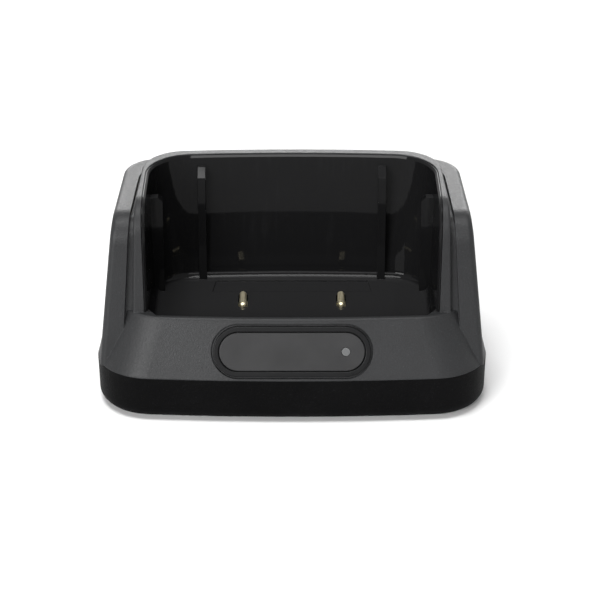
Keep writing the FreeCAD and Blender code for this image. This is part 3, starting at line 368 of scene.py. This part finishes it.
def boardFinish(look):
    finish, tree, shader, place = blankFinish("boardMask")
    lanes = addNode(tree, "ShaderNodeTexBrick", Scale=look["tracksPerMetre"])
    lanes.inputs["Mortar Size"].default_value = look["trackGap"]
    lanes.inputs["Brick Width"].default_value = look["trackLength"]
    lanes.inputs["Row Height"].default_value = look["trackWidth"]
    weave = addNode(tree, "ShaderNodeTexChecker", Scale=look["threadsPerMetre"])
    for pattern in (lanes, weave):
        tree.links.new(place, pattern.inputs["Vector"])
    tree.links.new(blendColours(tree, lanes.outputs["Fac"], look["mask"], look["overCopper"]),
                   shader.inputs["Base Color"])
    gloss = cloud(tree, place, look["glossPerMetre"])
    tree.links.new(spread(tree, gloss, *look["roughness"], *middle), shader.inputs["Roughness"])
    threads = combine(tree, "MULTIPLY", weave.outputs["Fac"], look["threadHeight"])
    height = combine(tree, "ADD", lanes.outputs["Fac"], threads)
    tree.links.new(relief(tree, height, 0.3, look["copperHeight"]), shader.inputs["Normal"])
    return finish


dress(boardFinish(boardMask), "circuit_board")
print("board dressed")


# the desk: a pale sweep that melts into the white room before it ends

desk = {
    "halfSize": 1.2,
    "fadeFrom": 0.35,
    "fadeTo": 1.0,
    "colour": (0.90, 0.90, 0.90),
    "mottle": 0.985,
    "mottlesPerMetre": 30.0,
    "roughness": 0.9,
    "sheen": 0.1,
}


def deskFinish(look):
    finish, tree, shader, place = blankFinish("deskPaper")
    mottled = tuple(c * look["mottle"] for c in look["colour"])
    tone = blendColours(tree, cloud(tree, place, look["mottlesPerMetre"], 3.0), look["colour"], mottled)
    tree.links.new(tone, shader.inputs["Base Color"])
    shader.inputs["Roughness"].default_value = look["roughness"]
    shader.inputs["Specular IOR Level"].default_value = look["sheen"]
    distance = addNode(tree, "ShaderNodeVectorMath", operation="LENGTH")
    tree.links.new(place, distance.inputs[0])
    melt = addNode(tree, "ShaderNodeMixShader")
    tree.links.new(spread(tree, distance.outputs["Value"], 0.0, 1.0, look["fadeFrom"], look["fadeTo"]),
                   melt.inputs["Fac"])
    tree.links.new(shader.outputs["BSDF"], melt.inputs[1])
    tree.links.new(addNode(tree, "ShaderNodeBsdfTransparent").outputs["BSDF"], melt.inputs[2])
    tree.links.new(melt.outputs["Shader"], tree.get_output_node("ALL").inputs["Surface"])
    return finish


def deskSurface(look):
    reach = look["halfSize"]
    mesh = bpy.data.meshes.new("deskSurface")
    mesh.from_pydata([(-reach, -reach, 0), (reach, -reach, 0), (reach, reach, 0), (-reach, reach, 0)],
                     [], [(0, 1, 2, 3)])
    mesh.materials.append(deskFinish(look))
    surface = bpy.data.objects.new("deskSurface", mesh)
    bpy.context.scene.collection.objects.link(surface)


deskSurface(desk)
print("desk laid")


# studio: an even white room and soft panels round the desk

room = {
    "colour": (1.0, 1.0, 1.0, 1.0),
    "fill": 0.09,
    "shown": 1.0,
}

panelAim = Vector((0.0, 0.0, 0.03))

panels = {
    "keyPanel": {"at": (-0.50, -0.83, 0.27), "size": (0.42, 0.42), "watts": 9.0},
    "stripPanel": {"at": (0.0, -0.80, 0.47), "size": (0.60, 0.26), "watts": 2.2},
    "topPanel": {"at": (-0.12, -0.20, 1.10), "size": (0.50, 0.50), "watts": 11.0},
    "backPanel": {"at": (0.05, 1.05, 0.38), "size": (0.90, 0.45), "watts": 10.5},
    "sidePanel": {"at": (0.95, 0.15, 0.30), "size": (0.40, 0.40), "watts": 0.4},
}


def lightRoom(look):
    world = bpy.data.worlds.new("studioRoom")
    bpy.context.scene.world = world
    world.use_nodes = True
    tree = world.node_tree
    tree.nodes.clear()
    output = addNode(tree, "ShaderNodeOutputWorld")
    fill = addNode(tree, "ShaderNodeBackground", Color=look["colour"], Strength=look["fill"])
    shown = addNode(tree, "ShaderNodeBackground", Color=look["colour"], Strength=look["shown"])
    path = addNode(tree, "ShaderNodeLightPath").outputs
    seen = combine(tree, "MAXIMUM", path["Is Camera Ray"],
                   combine(tree, "MAXIMUM", path["Is Glossy Ray"], path["Is Transmission Ray"]))
    choose = addNode(tree, "ShaderNodeMixShader")
    tree.links.new(seen, choose.inputs["Fac"])
    tree.links.new(fill.outputs["Background"], choose.inputs[1])
    tree.links.new(shown.outputs["Background"], choose.inputs[2])
    tree.links.new(choose.outputs["Shader"], output.inputs["Surface"])


def hangPanel(name, look):
    lamp = bpy.data.lights.new(name, "AREA")
    lamp.shape = "RECTANGLE"
    lamp.size, lamp.size_y = look["size"]
    lamp.energy = look["watts"]
    panel = bpy.data.objects.new(name, lamp)
    panel.location = look["at"]
    panel.rotation_euler = (panelAim - panel.location).to_track_quat("-Z", "Y").to_euler()
    bpy.context.scene.collection.objects.link(panel)


lightRoom(room)
for name, look in panels.items():
    hangPanel(name, look)
print("lights hung")


# camera: in front, 27 degrees above the desk

shot = {
    "elevation": 27.0,
    "distance": 0.65,
    "target": Vector((0.0, 0.001, 0.025)),
    "aside": Vector((0.00077, 0.0, 0.0)),
    "below": 0.00412,
    "lens": 153.98,
    "sensor": 36.0,
}


def placeCamera(look):
    tilt = math.radians(look["elevation"])
    back = Vector((0.0, -math.cos(tilt), math.sin(tilt)))
    up = Vector((0.0, math.sin(tilt), math.cos(tilt)))
    lensData = bpy.data.cameras.new("shotCamera")
    lensData.lens = look["lens"]
    lensData.sensor_width = look["sensor"]
    camera = bpy.data.objects.new("shotCamera", lensData)
    camera.location = look["target"] + back * look["distance"]
    aim = look["target"] + look["aside"] - up * look["below"]
    camera.rotation_euler = (aim - camera.location).to_track_quat("-Z", "Y").to_euler()
    bpy.context.scene.collection.objects.link(camera)
    bpy.context.scene.camera = camera


placeCamera(shot)
bpy.context.scene.view_settings.view_transform = "Standard"
print("camera placed")
